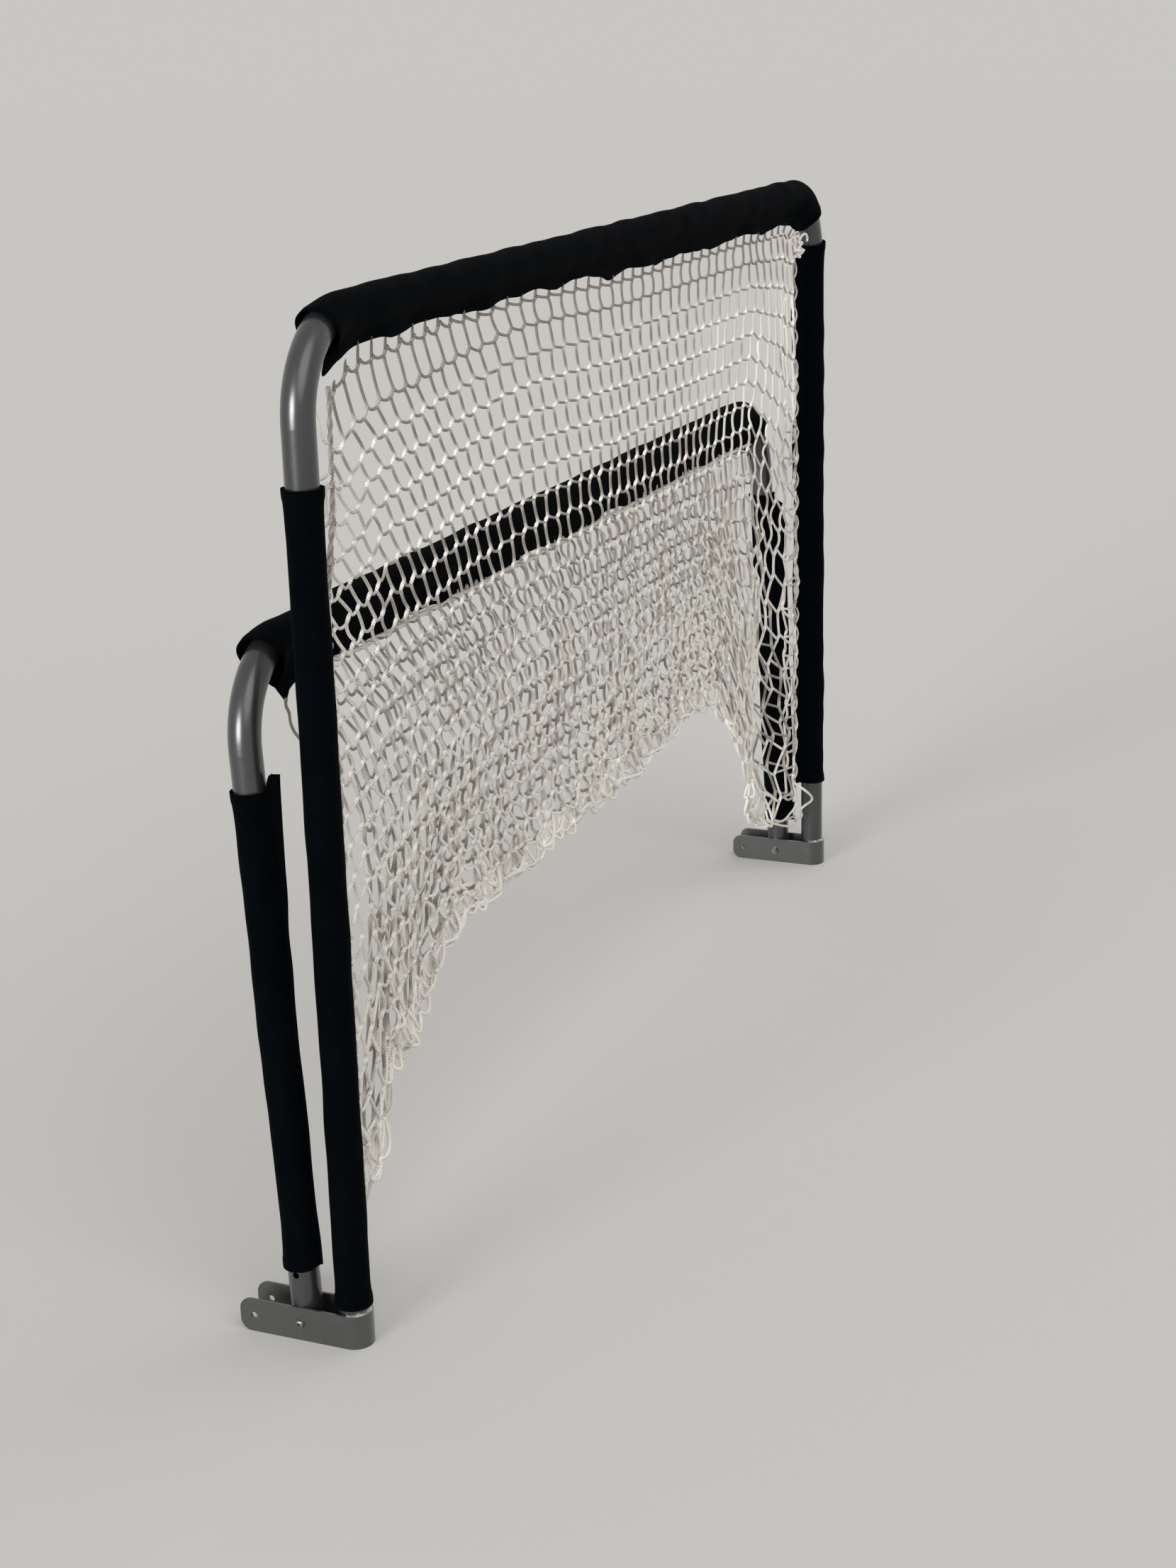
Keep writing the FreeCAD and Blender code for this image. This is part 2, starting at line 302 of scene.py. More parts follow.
def weld_metal():
    s = Shader("weld_bead_metal")
    colour = s.ramp(s.noise(300, 3.0), (0.3, (0.10, 0.105, 0.10)), (0.7, (0.42, 0.43, 0.43)))
    s.set(Base_Color=colour, Metallic=0.85, Roughness=s.spread(s.noise(500, 2.0), 0.16, 0.34))
    s.set(Normal=s.bump(s.noise(420, 3.0), 0.55, 0.0012))
    return s.material


def sleeve_cloth():
    """Black plain-weave polyester. The weave follows the cloth's own length and width."""
    s = Shader("black_woven_cloth")
    uv = s.node("UVMap", uv_map="cloth").outputs["UV"]
    weave = []
    for direction in ("X", "Y"):
        wave = s.node("TexWave", bands_direction=direction, Scale=260.0, Distortion=0.6, Vector=uv)
        wave.inputs["Detail Scale"].default_value = 2.0
        weave.append(wave.outputs["Fac"])
    thread = s.maths("MULTIPLY", *weave)
    dust = s.noise(16, 5.0, 0.6)
    shade = s.maths("ADD", s.maths("MULTIPLY", thread, 0.45), s.maths("MULTIPLY", dust, 0.55))
    colour = s.ramp(shade, (0.20, (0.0003, 0.0008, 0.0015)), (0.80, (0.0013, 0.0026, 0.0041)))
    s.set(Base_Color=colour, Roughness=s.spread(thread, 0.90, 0.70))
    s.set(Sheen_Weight=0.004, Sheen_Roughness=0.4, Specular_IOR_Level=0.020)
    s.set(Normal=s.bump(thread, 0.55, 0.0006, s.bump(s.noise(70, 3.0), 0.25, 0.002)))
    return s.material


def net_cord():
    """Off-white cord laid up from three strands. A painted light value takes it from a painted-shade
    brown to a lit off-white with painted highlights.
    """
    s = Shader("white_laid_cord")
    painted_light = s.node("Attribute", attribute_name="painted_light").outputs["Fac"]
    place = s.node("SeparateXYZ", Vector=s.node("UVMap", uv_map="cloth").outputs["UV"]).outputs
    lay = s.maths("MULTIPLY", s.maths("ADD", place["X"], place["Y"]), math.pi * STRANDS / TURN_WIDTH)
    strand = s.maths("ABSOLUTE", s.maths("SINE", lay, 0.0), 0.0)
    grime = s.noise(7, 4.0)
    # the strand pattern also darkens the grooves between strands and lightens their crowns: painted
    # shade and painted highlight, beside the bump
    shade = s.maths("ADD", s.maths("MULTIPLY", strand, 0.6), s.maths("MULTIPLY", grime, 0.4))
    # the first ramp is the cord painted in shade, a dark brown, and the second the cord painted in
    # light, up to a near-white painted highlight
    plain = s.ramp(shade, (0.15, (0.075, 0.063, 0.050)), (0.75, (0.25, 0.218, 0.182)))
    lit = s.ramp(shade, (0.15, (0.44, 0.40, 0.34)), (0.60, (0.98, 0.96, 0.91)))
    mix = s.node("Mix", data_type="RGBA")
    s.tree.links.new(painted_light, mix.inputs[0])
    s.tree.links.new(plain, mix.inputs[6])
    s.tree.links.new(lit, mix.inputs[7])
    s.set(Base_Color=mix.outputs[2], Roughness=0.6, Sheen_Weight=0.15)
    s.set(Normal=s.bump(strand, 0.8, 0.0008))
    return s.material


# each paint's darkest and lightest flake
TUBE_PAINT = silver_paint("silver_paint", (0.022, 0.0235, 0.026), (0.066, 0.070, 0.075))
STRAP_PAINT = silver_paint("strap_paint", (0.045, 0.048, 0.047), (0.100, 0.105, 0.102))
ZINC = zinc_metal()
WELD = weld_metal()
CLOTH = sleeve_cloth()
CORD = net_cord()


def finish_cad_nodes():
    """Finishes of the CAD pieces whose own shape is shown."""
    finishes = {"tube": TUBE_PAINT, "bracket": STRAP_PAINT, "weld": WELD, "bolt": ZINC, "nut": ZINC}
    for name, node in frame["nodes"].items():
        material = finishes.get(name.split("_")[-1])
        if material:
            node.data.materials.clear()
            node.data.materials.append(material)


# ---------------------------------------------------------------- sleeves
CLOTH_THICK = 0.0010
SNUG_R = TUBE_R + 0.0012                     # middle of the cloth where it lies on the tube
FLAP_GAP = 0.0009                            # middle of each of the flap's two layers to its middle
SLEEVE_OUT = TUBE_R + 0.0022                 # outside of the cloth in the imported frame
SECTION_TURN = 26                            # points round the tube
SECTION_FLAP = 12                            # points down each layer of the flap
MOUTH_LIFT = 0.0014                          # how far the cloth stands off the tube at each mouth
MOUTH_FADE, FLARE_FADE = 0.030, 0.060        # and how far in that lift and a flare fade out
HEM_LIFT = 0.0006
HEM_START, HEM_END = 0.0110, 0.0125          # the sewn hem's step, from the mouth
CORNER_FADE = 0.035                          # how far in a flap's raised corner fades out

FRONT_MOUTHS = (30, 52)                      # degrees of the left and right corner that are covered
REAR_MOUTHS = (30, 50)
FRONT_CORNERS = ((-0.833, 1.134), (0.805, 1.137))    # x and h of the flap's hanging corners
REAR_CORNERS = ((-0.795, 0.733), (0.850, 0.722))
SLANT_X = 0.700                              # where the flap's edge turns down to them
SLANT_POWER = 1.3
BAR_STEP, LEG_STEP = 0.0045, 0.005           # between stations along a sleeve
FRONT_BAR_CLOTH = (0.175, 1.76)              # flat width and length
REAR_BAR_CLOTH = (0.180, 1.76)
REAR_BAR_FLAP = 0.036
FRONT_FLAP_LEFT = 0.0195                     # the crossbar's flap on the left
FRONT_FLAP_GROWTH = 0.0075                   # and how much longer it is on the right
CUSP_DEPTH, CUSP_SPACING = 0.0060, 0.21
LEG_CLOTH_WIDTH = 0.155

POST_FLAP, LEG_FLAP = 0.020, 0.019           # from the tube to the flap's edge
POST_WAVE, LEG_WAVE = 0.0018, 0.0014         # how far that edge waves
POST_FLAP_TURN = {"left": 0, "right": 40}    # degrees that the flap is swung to the rear
LEG_FLAP_TURN = -80
LEG_FLAP_RISE = {"left": 0.018, "right": 0.0}


def section(tip):
    """The cloth's cross-section: (towards the flap, out to the front), from one flap edge to the
    other. tip is how far the flap's edge is from the tube's axis, one number per station."""
    seam = SNUG_R + 0.38 * (tip[:, None] - SNUG_R)
    touch = np.arccos(SNUG_R / seam)         # the cloth leaves the tube this far from the flap
    turn = touch + (2 * math.pi - 2 * touch) * np.linspace(0, 1, SECTION_TURN)
    start_t, start_w = SNUG_R * np.cos(touch), SNUG_R * np.sin(touch)
    share = np.linspace(1, 0, SECTION_FLAP + 1)[:-1]
    down = np.clip(2 * share, 0, 1)          # from the tube to the seam, then on to the edge
    t = start_t + (seam - start_t) * down + (tip[:, None] - seam) * np.clip(2 * share - 1, 0, 1)
    w = start_w + (FLAP_GAP - start_w) * down
    towards = np.concatenate([t, SNUG_R * np.cos(turn), t[:, ::-1]], axis=1)
    out = np.concatenate([w, SNUG_R * np.sin(turn), -w[:, ::-1]], axis=1)
    return towards, out


def sleeve(name, node, body, plane, axis, inward, tip, flat, looseness, wave, seed,
           flare=(0.0, 0.0), turn=0.0, rise=0.0):
    """A cloth sleeve along a tube. axis, inward and tip are the tube's axis, the direction of the
    flap and the place of its edge in the frame's plane, station by station. looseness lifts the
    cloth off the tube and wave moves the flap's edge. flare is how much further each mouth stands
    off, turn swings the flap to the rear about the tube, and rise is how far the flap's last
    corner stands above the mouth."""
    length = np.concatenate([[0], np.cumsum(np.linalg.norm(np.diff(axis, axis=0), axis=1))])
    reach = np.linalg.norm(tip - axis, axis=1)
    towards, out = section(reach)
    around = np.linspace(0, flat[0], towards.shape[1])
    along, around = np.meshgrid(length, around, indexing="ij")

    # the flap's direction swings from the tube's own inward side to the flap's edge
    share = smooth(0.35, 1.0, towards / reach[:, None])[..., None]
    to_tip = unit(tip - axis)[:, None]
    direction = unit(inward[:, None] * (1 - share) + to_tip * share)

    # loose cloth: it lifts off the tube in soft wrinkles, and the flap's edge waves
    wrinkle = ripples(seed, 0.05, 0.22, along, around * 1.4)
    lift = looseness * np.clip(0.35 + 0.5 * wrinkle, 0, 1.5)
    ends = np.minimum(along, length[-1] - along)
    lift = lift + MOUTH_LIFT * (1 - smooth(0.0, MOUTH_FADE, ends))
    lift = lift + flare[0] * (1 - smooth(0.0, FLARE_FADE, along))
    lift = lift + flare[1] * (1 - smooth(0.0, FLARE_FADE, length[-1] - along))
    hem = HEM_LIFT * (1 - smooth(HEM_START, HEM_END, ends))
    grown = 1 + (lift + hem) / np.hypot(towards, out) * (1 - share[..., 0])
    edge = share[..., 0]
    sway = edge * wave * ripples(seed + 1, 0.09, 0.28, along)
    drop = edge * 0.35 * wave * ripples(seed + 2, 0.05, 0.16, along)
    towards, out = towards * grown + drop, out * grown + sway
    flap_share = smooth(SNUG_R, SNUG_R + 0.006, towards)
    towards, out = (towards * math.cos(turn) + out * math.sin(turn),
                    out * math.cos(turn) - towards * math.sin(turn))

    place = axis[:, None] + direction * towards[..., None]
    place[..., 1] += rise * flap_share * smooth(CORNER_FADE, 0.0, length[-1] - along)
    vertices = plane.point(place[..., 0], place[..., 1], out)
    faces = grid_faces(*vertices.shape[:2])
    uv = np.stack([along, around], axis=-1).reshape(-1, 2)[np.array(faces)]
    piece = make_piece(name, vertices, faces, CLOTH, uv)
    thick = piece.modifiers.new("cloth", "SOLIDIFY")
    thick.thickness = CLOTH_THICK
    thick.offset = 0.0
    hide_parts(node)
    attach(piece, body)
    return piece


def bar_line(bar_h, mouths):
    """Axis of a bar and the covered part of its corners, and the inward direction."""
    left, right = (BEND_X + BEND_R * math.radians(mouth) for mouth in mouths)
    s = np.linspace(-left, right, int((left + right) / BAR_STEP))
    turn = np.clip(np.abs(s) - BEND_X, 0, None) / BEND_R * np.sign(s)
    x = np.clip(s, -BEND_X, BEND_X) + BEND_R * np.sin(turn)
    h = bar_h - BEND_R * (1 - np.cos(turn))
    return s, np.stack([x, h], axis=1), np.stack([-np.sin(turn), -np.cos(turn)], axis=1)


def bar_tip(s, axis, edge_h, corners):
    """Edge of a bar's flap: level below the bar, then down to the left and right hanging corner."""
    tip = np.stack([np.clip(axis[:, 0], -BEND_X, BEND_X), edge_h], axis=1)
    for corner, end in zip(corners, (s[0], s[-1])):
        slant = np.clip((s * np.sign(end) - SLANT_X) / (abs(end) - SLANT_X), 0, 1)
        slant = slant[:, None] ** SLANT_POWER
        tip = tip * (1 - slant) + np.array(corner) * slant
    return tip


def front_flap(x):
    """Length of the crossbar's flap below the tube, with the cusps where net cords pull it."""
    uneven_x = x + 0.02 + 0.03 * np.sin(7 * x)
    cusps = CUSP_DEPTH * (1 - np.abs(np.sin(math.pi * uneven_x / CUSP_SPACING))) ** 1.5
    return FRONT_FLAP_LEFT + FRONT_FLAP_GROWTH * smooth(-0.12, -0.02, x) + cusps


def front_bar_sleeve():
    s, axis, inward = bar_line(BAR_Z, FRONT_MOUTHS)
    edge = BAR_Z - TUBE_R - front_flap(axis[:, 0])
    tip = bar_tip(s, axis, edge, FRONT_CORNERS)
    sleeve("crossbar_sleeve", "front_bar_sleeve", FRONT_BODY,
           FRONT, axis, inward, tip, FRONT_BAR_CLOTH, looseness=0.0020, wave=0.0030, seed=11,
           flare=(0.002, 0.001))


def rear_bar_sleeve():
    s, axis, inward = bar_line(REAR_LENGTH, REAR_MOUTHS)
    edge = REAR_LENGTH - TUBE_R - REAR_BAR_FLAP - 0.004 * ripples(5, 0.15, 0.4, axis[:, 0])
    tip = bar_tip(s, axis, edge, REAR_CORNERS)
    sleeve("rear_crossbar_sleeve", "rear_bar_sleeve", REAR_BODY,
           REAR, axis, inward, tip, REAR_BAR_CLOTH, looseness=0.0020, wave=0.0030, seed=23,
           flare=(0.006, 0.001))


def leg_line(side, low, top, bar_h):
    """Axis of a leg, on into its corner if the sleeve's highest point lies there, and the inward
    direction."""
    straight = bar_h - BEND_R
    wrap = math.asin(max(top - straight, 0.0) / (BEND_R + SLEEVE_OUT))
    s = np.arange(low, min(top, straight) + BEND_R * wrap, LEG_STEP)
    turn = np.clip(s - straight, 0, None) / BEND_R
    x = side * (POST_X - BEND_R * (1 - np.cos(turn)))
    h = np.minimum(s, straight) + BEND_R * np.sin(turn)
    return np.stack([x, h], axis=1), np.stack([-side * np.cos(turn), -np.sin(turn)], axis=1)


def flap_fullness(which, name, rows):
    """How wide a leg's flap is from its foot, row 0, to its top, row 1."""
    if which == "front":
        return 0.85 + 0.15 * rows
    return 0.3 + 0.7 * rows ** 4 if name == "left" else 0.85 + 0.45 * rows


def leg_sleeve(which, name, plane, bar_h, body, flap, wave, turn, rise=0.0):
    """Sleeve of one leg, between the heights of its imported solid."""
    side, node = SIDES[name], f"{which}_{name}_sleeve"
    low, top = ((corner.z - plane.foot[2]) / plane.up[2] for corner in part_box(node))
    axis, inward = leg_line(side, low, top, bar_h)
    rows = np.linspace(0, 1, len(axis))
    round_off = 1.0 if rise else smooth(1.0, 1.0 - 0.02 / (top - low), rows).clip(0.4)
    reach = TUBE_R + flap * flap_fullness(which, name, rows) * round_off
    tip = axis + inward * reach[:, None]
    seed = 40 + 10 * (side > 0) + 5 * (plane is REAR)
    flat = (LEG_CLOTH_WIDTH, round(top - low, 2))
    piece = sleeve(f"{which}_{name}_leg_sleeve", node, body,
                   plane, axis, inward, tip, flat, looseness=0.0014, wave=wave, seed=seed,
                   turn=math.radians(turn), rise=rise)
    return piece, axis


def leg_sleeves():
    """The four leg sleeves. The rear ones each get a mesh of their own."""
    for name in SIDES:
        leg_sleeve("front", name, FRONT, BAR_Z, FRONT_BODY, POST_FLAP, POST_WAVE, POST_FLAP_TURN[name])
        rear, axis = leg_sleeve("rear", name, REAR, REAR_LENGTH, REAR_BODY, LEG_FLAP, LEG_WAVE,
                                LEG_FLAP_TURN, LEG_FLAP_RISE[name])
        top = REAR.point(*axis[-1])
        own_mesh(rear)


# ---------------------------------------------------------------- net
CORD_R = 0.0020
KNOT_R = 0.0027
HALF_KNOT_X, HALF_KNOT_Y = 0.0028, 0.0008    # from the middle of a knot to its upper end
HALF_KNOT_Z, HALF_KNOT_WIDER = 0.0024, 0.0026
MESH = 0.0375                                # one side of a mesh of the net
KNOT_TAKES = 0.007                           # of that side, what is tied up in the knot
LINK = 0.0312                                # free length of the cord between two columns
FRONT_ROWS, REAR_ROWS = 22, 12
TOP_COLUMNS = 45                             # columns that hang from the crossbar's flap
TOP_HALF = 0.83                              # the first and last of them
LEFT_EXTRA, RIGHT_EXTRA = 7, 3               # columns that start lower, from the edge by a post
EDGE_X = 0.853                               # the net's edge beside a post
EDGE_DRAWN = (0.88, 1.02)                    # heights over which it is drawn in near the crossbar
FIRST_ROW_Z = 1.1405                         # the first row of knots, just under the flap
FIRST_MESH_SHORT = 0.006                     # how much shorter the meshes under it are
DRAW_IN, DRAW_REACH = 0.32, 0.5              # how far the net narrows as it falls, and over what drop
RIGHT_STRAIGHT = 0.22                        # how far it falls straight at its right end first
DRAW_IN_LESS = 0.12                          # and how much less it then narrows there
LEAN_DROP, LEAN_DEPTH = 0.745, 0.030         # from the first row to the fold, and how far it leans back
# x and z of the net's lower edge
FOLD = ((-0.86, 0.160), (-0.77, 0.155), (-0.735, 0.200), (-0.715, 0.268), (-0.62, 0.300),
        (-0.56, 0.373), (-0.50, 0.388), (0.0, 0.404), (0.38, 0.432), (0.50, 0.408),
        (0.60, 0.286), (0.73, 0.137), (0.78, 0.098), (0.86, 0.085))
REAR_TOP = (-0.745, 0.83)                    # the net's reach along the rear bar's flap
NET_REAR_H = REAR_LENGTH - TUBE_R - 0.037    # where it ends on that flap
PANEL_COLUMNS = {"left": 5, "right": 2}
PANEL_ROWS = 21
PANEL_TOP_Z = 1.02
PANEL_BACK_X = {"left": 0.862, "right": 0.850}
PANEL_DEPTH = 0.034                          # from the post's axis back to the panel's last column
PANEL_LIMIT_X = 0.866
EDGE_TOP_Z = 1.122
DOWN = np.array((0.0, 0.0, -1.0))

rng = np.random.default_rng(3)


def net_top(x):
    """Height of the crossbar flap's edge."""
    level = BAR_Z - TUBE_R - front_flap(x)
    corner = smooth(0.735, 0.850, np.abs(x))
    return level * (1 - corner) + np.where(x < 0, 1.110, 1.128) * corner


def fold_height(x):
    """Height of the net's lower edge: an arch between two lobes beside the posts."""
    return np.interp(x, *zip(*FOLD)) + 0.004 * ripples(9, 0.08, 0.25, x)


def edge_place(side, z):
    """The net's edge beside a post. Near the crossbar it is drawn in from the post, and on the
    right it lies behind the turned flap and is drawn in again low down."""
    z = np.asarray(z, float)
    high = smooth(*EDGE_DRAWN, z)
    if side < 0:
        drawn_in, behind = 0.030 * high, 0.002
    else:
        drawn_in, behind = 0.011 + 0.006 * high + 0.008 * smooth(0.50, 0.28, z), 0.013
    return np.stack([side * (EDGE_X - drawn_in), np.full_like(z, FRONT_Y + behind), z], axis=-1)


def column_tops():
    """Where each column of knots meets the flap's level. The first and the last ones would meet
    it past the posts, so they start lower down, at the net's edge."""
    column = np.arange(-LEFT_EXTRA, TOP_COLUMNS + RIGHT_EXTRA)
    place = 2 * column / (TOP_COLUMNS - 1) - 1
    inner = np.clip(place, -1, 1)
    crowd = np.where(place < 0, 0.17, 0.06)
    past = np.where(place < 0, 0.85, 1.20) * (place - inner)
    top = TOP_HALF * ((1 + crowd) * inner - crowd * inner ** 3 + past)
    return top + 0.005 * ripples(50, 0.25, 0.7, top)


def front_fall(top_x):
    """Knots of the front layer. The net draws in towards the middle as it falls, and its rows
    droop at the sides. On the right it falls straight for a while first."""
    k = np.arange(FRONT_ROWS + 1)
    even = MESH * k - FIRST_MESH_SHORT * (k > 0)
    held = smooth(0.50, 0.80, top_x)[:, None]
    fall = np.clip(even - RIGHT_STRAIGHT * held, 0, None)
    narrowed = (DRAW_IN - DRAW_IN_LESS * held) * (1 - np.exp(-fall / DRAW_REACH))
    x = top_x[:, None] * (1 - narrowed)

    first = FIRST_ROW_Z + 0.011 * smooth(0.05, -0.30, top_x) - 0.012 * smooth(-0.50, -0.75, top_x)
    first = np.minimum(first, net_top(np.clip(top_x, -0.8, 0.8)) - 0.008)
    left = 0.018 * smooth(0.30, 0.65, -x) * (k > 0)
    left = left + 0.25 * np.clip(-x - 0.68, 0, None) * smooth(-1, 2, k)
    right = 0.45 * smooth(-1, 8, k) * np.clip(x - 0.60, 0, None)
    z = first[:, None] - even - left - right
    late = smooth(9, 15, k) * (k > 0)
    to_fold = z[:, -1] - fold_height(x[:, -1])
    z = z - to_fold[:, None] * (np.cumsum(late) / late.sum())

    # it leans back to the fold. Low on the right it turns back from the post's edge more steeply
    depth = np.minimum(np.clip(FIRST_ROW_Z + 0.01 - z, 0, None) / LEAN_DROP, 1) ** 1.2
    at_edge = smooth(0.70, 0.85, x)
    turned = 0.32 * np.clip(0.845 - x, 0, 0.075) * smooth(0.80, 0.25, z) * smooth(0.64, 0.74, x)
    y = FRONT_Y + 0.003 + LEAN_DEPTH * depth * (1 - at_edge) + 0.009 * at_edge + turned
    return np.stack([x, y, z], axis=-1)


def rear_rise(fold):
    """Knots of the rear layer, from the fold up to the edge of the rear bar's flap."""
    q = (np.arange(1, REAR_ROWS + 1) / REAR_ROWS)[None]
    rise_x = np.linspace(*REAR_TOP, len(fold))[:, None]
    pulled = rise_x * (1 - 0.07 * (1 - smooth(0.80, 1.0, q)))
    top = REAR.point(0.0, NET_REAR_H)
    outer = smooth(0.5, 0.8, np.abs(rise_x))
    x = fold[:, :1] + (pulled - fold[:, :1]) * smooth(0, 0.7, q)
    y = fold[:, 1:2] + 0.004 + (top[1] - fold[:, 1:2] - 0.004) * q ** (1.4 + 1.2 * outer)
    z = fold[:, 2:] + (top[2] - fold[:, 2:]) * q
    return np.stack([x, y, z], axis=-1)


def lattice():
    """Middles of the knots, by column and row. Rows run down the front layer, round the fold and
    up the rear layer. Also a mask of the knots that exist."""
    front = front_fall(column_tops())
    knots = np.concatenate([front, rear_rise(front[:, -1])], axis=1)
    columns, rows = knots.shape[:2]

    # where meshes are closed up, knots are pushed out of line, most of all at the fold. Low on
    # the right the meshes stay open, and every other row stands forward
    gap = np.linalg.norm(np.diff(knots, axis=1, append=knots[:, -1:] + (0, 0, MESH)), axis=2)
    slack = np.sqrt(np.clip(1 - (gap / MESH) ** 2, 0, 1))
    u, v = np.meshgrid(np.arange(columns), np.arange(rows), indexing="ij")
    at_fold = np.exp(-((v - FRONT_ROWS) / 3.0) ** 2)
    loose = 0.0008 + 0.0022 * slack + 0.0036 * at_fold
    still = 0.25 + 0.75 * smooth(0, 2, v) * smooth(0, 2, rows - 1 - v)
    open_cells = smooth(0.66, 0.30, knots[..., 2]) * smooth(0.64, 0.74, knots[..., 0])
    loose = loose * (1 - 0.55 * open_cells)
    for axis, share in enumerate((0.9, 0.9, 0.32)):
        swell = 0.6 * ripples(70 + axis, 2.5, 9, u, v) + 0.7 * rng.normal(size=u.shape)
        knots[..., axis] += share * loose * swell * still
    knots[..., 1] += 0.0065 * open_cells * (-1.0) ** v
    left, right = (edge_place(side, knots[..., 2])[..., 0] for side in (-1, 1))
    inside = (knots[..., 0] > left + 0.004) & (knots[..., 0] < right - 0.004)
    return knots, inside | (v > FRONT_ROWS)


def half_knots(knots, rising):
    """From the middle of each knot to its upper end. Knots open wider where the net leans, and
    low in the net where it is slack."""
    wide = np.maximum(smooth(-0.15, -0.65, knots[..., 0]), smooth(1.0, 0.75, knots[..., 2]))
    half = np.empty(knots.shape)
    half[..., 0] = HALF_KNOT_X
    half[..., 1] = HALF_KNOT_Y if rising else -HALF_KNOT_Y
    half[..., 2] = HALF_KNOT_Z + HALF_KNOT_WIDER * wide
    return half * (1 + 0.18 * rng.normal(size=knots.shape[:2] + (1,)))


def bowed(start, end, length, sag, most=0.011, points=5):
    """Points of a slack cord of about that length between two places, bowed along sag, and by no
    more than most."""
    t = np.linspace(0, 1, points)[:, None]
    gap = np.linalg.norm(end - start)
    depth = math.sqrt(max(3 * gap * (length - gap) / 8, 0.0))
    return start + (end - start) * t + 4 * t * (1 - t) * (min(depth, most) + 0.0008) * sag


def painted_cord_light(knots):
    """How brightly the cord between knots is painted: painted shade high in the net, and painted
    light low down, at the left edge and towards the right, uneven at random."""
    x, z = knots[..., 0], knots[..., 2]
    low = 1.25 * smooth(0.95, 0.50, z)
    left = 1.2 * smooth(-0.60, -0.84, x) * smooth(1.08, 0.98, z)
    right = smooth(0.20, 0.62, x) * smooth(1.13, 1.02, z)
    uneven = 0.5 + 0.5 * ripples(60, 0.05, 0.3, x, z)
    most_lit = np.maximum.reduce([low, left, right])
    return np.clip(0.04 + 0.72 * most_lit * (0.55 + 0.6 * uneven), 0, 0.9)


def weave_net(cords, knots, exists, rising=False):
    """Column cords with a knot at each crossing, and the links between columns. Rows run down, or
    up where rising. Knots are painted lit, as highlights, except in the top rows, which are painted
    in shade, and where rising the knots are painted half as lit and the cords far darker, as shade."""
    columns, rows = knots.shape[:2]
    half = half_knots(knots, rising)
    upper, lower = knots + half, knots - half
    begin, end = (lower, upper) if rising else (upper, lower)
    bend = rng.normal(size=(columns, rows, 3)) * (0.7, 0.8, 0.25) - (0.35, 0, 0)
    # painted light on the cords between knots; the rising rear layer is painted far darker, a painted
    # shade
    bright = painted_cord_light(knots) * (0.12 if rising else 1.0)
    thick = 1 + 0.15 * smooth(0.80, 0.45, knots[..., 2])
    slack = smooth(1.02, 0.62, knots[..., 2])
    # the knots' painted highlight, dimmed to painted shade in the top rows except at the right, and
    # halved where rising
    lit = 1 - 0.85 * smooth(1.055, 1.10, knots[..., 2]) * smooth(0.76, 0.62, knots[..., 0])
    lit = lit * (0.5 if rising else 1.0)
    for i in range(columns):
        run, radius, painted_light = [], [], []
        for k in np.nonzero(exists[i])[0]:
            run += [begin[i, k], knots[i, k], end[i, k]]
            cord = CORD_R * thick[i, k]
            radius += [cord * 1.15, KNOT_R * thick[i, k], cord * 1.15]
            painted_light += [0.7 * lit[i, k], lit[i, k], 0.7 * lit[i, k]]
            if k + 1 < rows and exists[i, k + 1]:
                most = 0.0012 + 0.0028 * slack[i, k]
                length = MESH - KNOT_TAKES
                bow = bowed(end[i, k], begin[i, k + 1], length, unit(bend[i, k]), most)
                run += list(bow[1:-1])
                radius += [cord] * 3
                painted_light += [bright[i, k] + 0.05, bright[i, k], bright[i, k] + 0.05]
        if len(run) > 3:
            cords.add(run, np.array(radius), np.array(painted_light))
    for i, k in zip(*np.nonzero(exists[:-1] & exists[1:])):
        sag = unit(DOWN + (0.0, 0.2, 0.0) + 0.3 * bend[i, k])
        link = bowed(upper[i, k], lower[i + 1, k], LINK, sag, 0.0025 + 0.0042 * slack[i, k])
        plain = (0.6 + 0.4 * slack[i, k]) * bright[i, k]
        ends = (0.7 + 0.2 * slack[i, k]) * lit[i, k]
        painted_light = np.array((ends, plain + 0.05, plain, plain + 0.05, ends))
        cords.add(link, 0.96 * CORD_R * thick[i, k], painted_light)


def fold_rim(cords, knots, exists):
    """The fold: cords that join the two layers, and a lumpy bundle of slack loops along it."""
    front, rear = knots[:, FRONT_ROWS], knots[:, FRONT_ROWS + 1]
    inside = np.nonzero(exists[:, FRONT_ROWS])[0]
    for i in inside:
        # the fold's cords are painted lit, with painted highlights
        cords.add(bowed(front[i], rear[i], MESH, DOWN), CORD_R * 1.2, 0.8)
    for i, j in zip(inside[:-1], inside[1:]):
        for start, end in ((front[i], rear[j]), (rear[i], front[j]), (front[i], front[j])):
            droop = unit(DOWN + rng.normal(size=3) * (0.3, 0.5, 0.1))
            length = np.linalg.norm(end - start) + rng.uniform(0.006, 0.026)
            cords.add(bowed(start, end, length, droop, 0.014, 7), CORD_R * 1.3, rng.uniform(0.75, 1.0))
    wander = rng.normal(size=(2, len(inside), 3)) * (0.002, 0.004, 0.004)
    for row, stray in zip((front, rear), wander):
        cords.add(through(row[inside] + stray + (0, 0, -0.003), 4), CORD_R * 1.3, 0.9)


